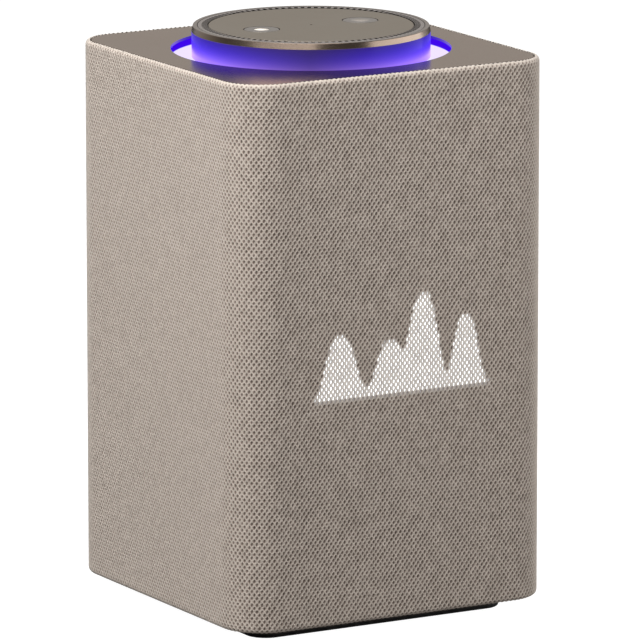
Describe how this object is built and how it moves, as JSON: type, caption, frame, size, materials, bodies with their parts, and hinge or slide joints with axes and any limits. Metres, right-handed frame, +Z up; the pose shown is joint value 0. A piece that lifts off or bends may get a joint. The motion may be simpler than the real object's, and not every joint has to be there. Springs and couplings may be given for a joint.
{
  "type": "smart speaker",
  "caption": "Square fabric-clad smart speaker with a lit well and turning volume ring on top, press buttons and a light display behind the front cloth.",
  "frame": {"origin": "centre of the foot's underside, on the surface the speaker stands on", "axes": "+Z up, front with the light display faces -Y, +X to the right seen from the front"},
  "size_m": [0.141, 0.141, 0.231],
  "materials": {
    "knit_fabric": "taupe open knit",
    "satin_plate": "satin taupe",
    "bronze_metal": "anodised bronze, satin",
    "bright_metal": "anodised, fine turned",
    "cap_metal": "satin taupe",
    "lit_lens": "lit translucent lens",
    "light_guide": "lit translucent guide",
    "black_plastic": "moulded ABS",
    "brown_plastic": "moulded ABS",
    "bearing_plastic": "natural acetal",
    "foot_rubber": "soft silicone rubber",
    "surround_rubber": "butyl rubber",
    "gasket_foam": "closed-cell foam",
    "cone_fibre": "coated paper fibre",
    "dome_fabric": "doped silk dome",
    "chassis_steel": "black zinc chassis",
    "magnet_ferrite": "ferrite and zinc steel",
    "coil_copper": "enamelled copper winding",
    "screw_steel": "zinc-plated steel",
    "spring_steel": "music wire",
    "circuit_green": "glass-epoxy laminate",
    "chip_black": "moulded epoxy",
    "led_white": "phosphor LED package",
    "diffuser_white": "frosted film",
    "sink_aluminium": "extruded aluminium",
    "socket_black": "moulded socket",
    "port_steel": "stamped shell"
  },
  "bodies": {
    "enclosure": {"foot_pad": "foot_rubber", "base_plate": "brown_plastic", "base_screws": "screw_steel", "cabinet_shell": "black_plastic", "cabinet_gasket": "gasket_foam", "cabinet_lid": "black_plastic", "lid_screws": "screw_steel", "grille_frame": "black_plastic", "fabric_sleeve": "knit_fabric", "well_housing": "black_plastic", "top_plate": "satin_plate", "light_diffuser": "light_guide", "ring_led_board": "circuit_green", "ring_leds": "led_white", "dial_hub": "black_plastic", "thrust_washer": "bearing_plastic", "glide_ring": "bearing_plastic", "retainer_ring": "black_plastic", "centre_cap": "cap_metal", "control_board": "circuit_green", "tact_switches": "chip_black", "microphones": "port_steel", "encoder_body": "chip_black", "mute_spring": "spring_steel", "action_spring": "spring_steel", "display_board": "circuit_green", "display_leds": "led_white", "display_diffuser": "diffuser_white", "small_screws": "screw_steel", "main_board": "circuit_green", "board_chips": "chip_black", "heat_sink": "sink_aluminium", "connector_panel": "black_plastic", "power_socket": "socket_black", "service_port": "port_steel", "woofer_basket": "chassis_steel", "woofer_magnet": "magnet_ferrite", "woofer_surround": "surround_rubber", "mid_baskets": "chassis_steel", "upper_magnets": "magnet_ferrite", "mid_surrounds": "surround_rubber", "passive_frames": "black_plastic", "passive_surrounds": "surround_rubber", "tweeter_frames": "chassis_steel"},
    "dial": {"volume_ring": "bronze_metal", "trim_ring": "bright_metal", "dial_carrier": "black_plastic"},
    "encoder": {"encoder_pinion": "bearing_plastic"},
    "mute_key": {"mute_button": "cap_metal", "mute_lens": "lit_lens"},
    "action_key": {"action_button": "cap_metal"},
    "woofer_moving": {"woofer_cone": "cone_fibre", "woofer_voice_coil": "coil_copper", "woofer_dust_cap": "cone_fibre"},
    "passive_moving_left": {"passive_diaphragm_left": "cone_fibre"},
    "passive_moving_right": {"passive_diaphragm_right": "cone_fibre"},
    "mid_moving_left": {"mid_cone_left": "cone_fibre"},
    "mid_moving_right": {"mid_cone_right": "cone_fibre"},
    "tweeter_moving_left": {"tweeter_dome_left": "dome_fabric"},
    "tweeter_moving_right": {"tweeter_dome_right": "dome_fabric"}
  },
  "joints": [
    {"name": "volume_turn", "type": "hinge", "parent": "enclosure", "child": "dial", "pos_m": [0, 0, 0.224], "axis": [0, 0, 1], "continuous": true},
    {"name": "encoder_turn", "type": "hinge", "parent": "enclosure", "child": "encoder", "pos_m": [0, 0.0366, 0.224], "axis": [0, 0, 1], "continuous": true},
    {"name": "mute_press", "type": "slide", "parent": "enclosure", "child": "mute_key", "axis": [0, 0, 1], "range_m": [-0.0008, 0], "stiffness_N_per_m": 600, "springref_m": 0.001, "deforming": ["mute_spring"]},
    {"name": "action_press", "type": "slide", "parent": "enclosure", "child": "action_key", "axis": [0, 0, 1], "range_m": [-0.0008, 0], "stiffness_N_per_m": 600, "springref_m": 0.001, "deforming": ["action_spring"]},
    {"name": "woofer_stroke", "type": "slide", "parent": "enclosure", "child": "woofer_moving", "axis": [0, -1, 0], "range_m": [-0.0025, 0.0025], "stiffness_N_per_m": 1500},
    {"name": "passive_left_stroke", "type": "slide", "parent": "enclosure", "child": "passive_moving_left", "axis": [-1, 0, 0], "range_m": [-0.0025, 0.0025], "stiffness_N_per_m": 1200},
    {"name": "passive_right_stroke", "type": "slide", "parent": "enclosure", "child": "passive_moving_right", "axis": [1, 0, 0], "range_m": [-0.0025, 0.0025], "stiffness_N_per_m": 1200},
    {"name": "mid_left_stroke", "type": "slide", "parent": "enclosure", "child": "mid_moving_left", "axis": [0, -1, 0], "range_m": [-0.001, 0.001], "stiffness_N_per_m": 1500},
    {"name": "mid_right_stroke", "type": "slide", "parent": "enclosure", "child": "mid_moving_right", "axis": [0, -1, 0], "range_m": [-0.001, 0.001], "stiffness_N_per_m": 1500},
    {"name": "tweeter_left_stroke", "type": "slide", "parent": "enclosure", "child": "tweeter_moving_left", "axis": [0, -1, 0], "range_m": [-0.0002, 0.0002], "stiffness_N_per_m": 2000},
    {"name": "tweeter_right_stroke", "type": "slide", "parent": "enclosure", "child": "tweeter_moving_right", "axis": [0, -1, 0], "range_m": [-0.0002, 0.0002], "stiffness_N_per_m": 2000}
  ],
  "couplings": [
    {"joint": "encoder_turn", "follows": "volume_turn", "ratio": 8.625}
  ]
}
